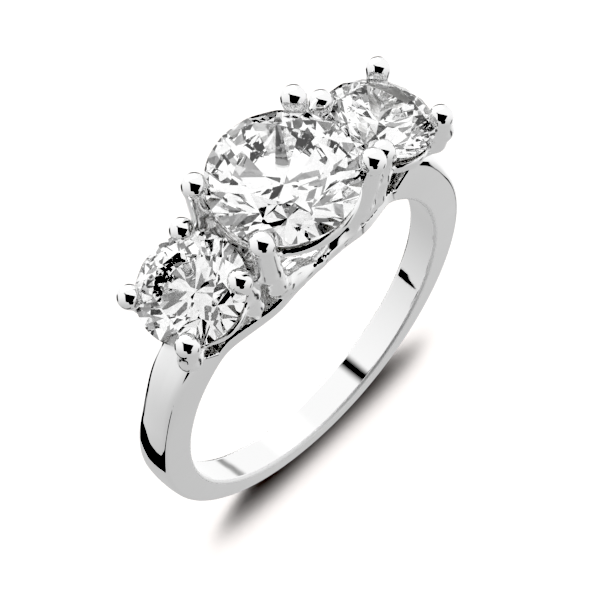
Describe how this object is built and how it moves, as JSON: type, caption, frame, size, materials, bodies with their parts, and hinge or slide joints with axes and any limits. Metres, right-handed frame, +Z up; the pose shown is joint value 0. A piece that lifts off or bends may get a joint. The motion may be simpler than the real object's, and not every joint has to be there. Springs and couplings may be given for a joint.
{
  "type": "silver ring",
  "caption": "Silver ring with a slim polished band and a row of round brilliant-cut clear stones in pronged heads, lying on its side with an open finger hole.",
  "frame": {"origin": "middle of the ring's box as it lies on its side, on the surface it lies on", "axes": "+Z up from the surface, +Y from the stones towards the plain end of the band, +X along the row of stones towards the stone at the left of the picture"},
  "size_m": [0.0208, 0.0252, 0.0072],
  "materials": {
    "polished_silver": "polished silver with a bright white plating",
    "clear_stone": "cut and polished, colourless"
  },
  "bodies": {
    "root": {"silver_mount": "polished_silver", "centre_stone": "clear_stone", "left_stone": "clear_stone", "right_stone": "clear_stone"}
  },
  "joints": []
}
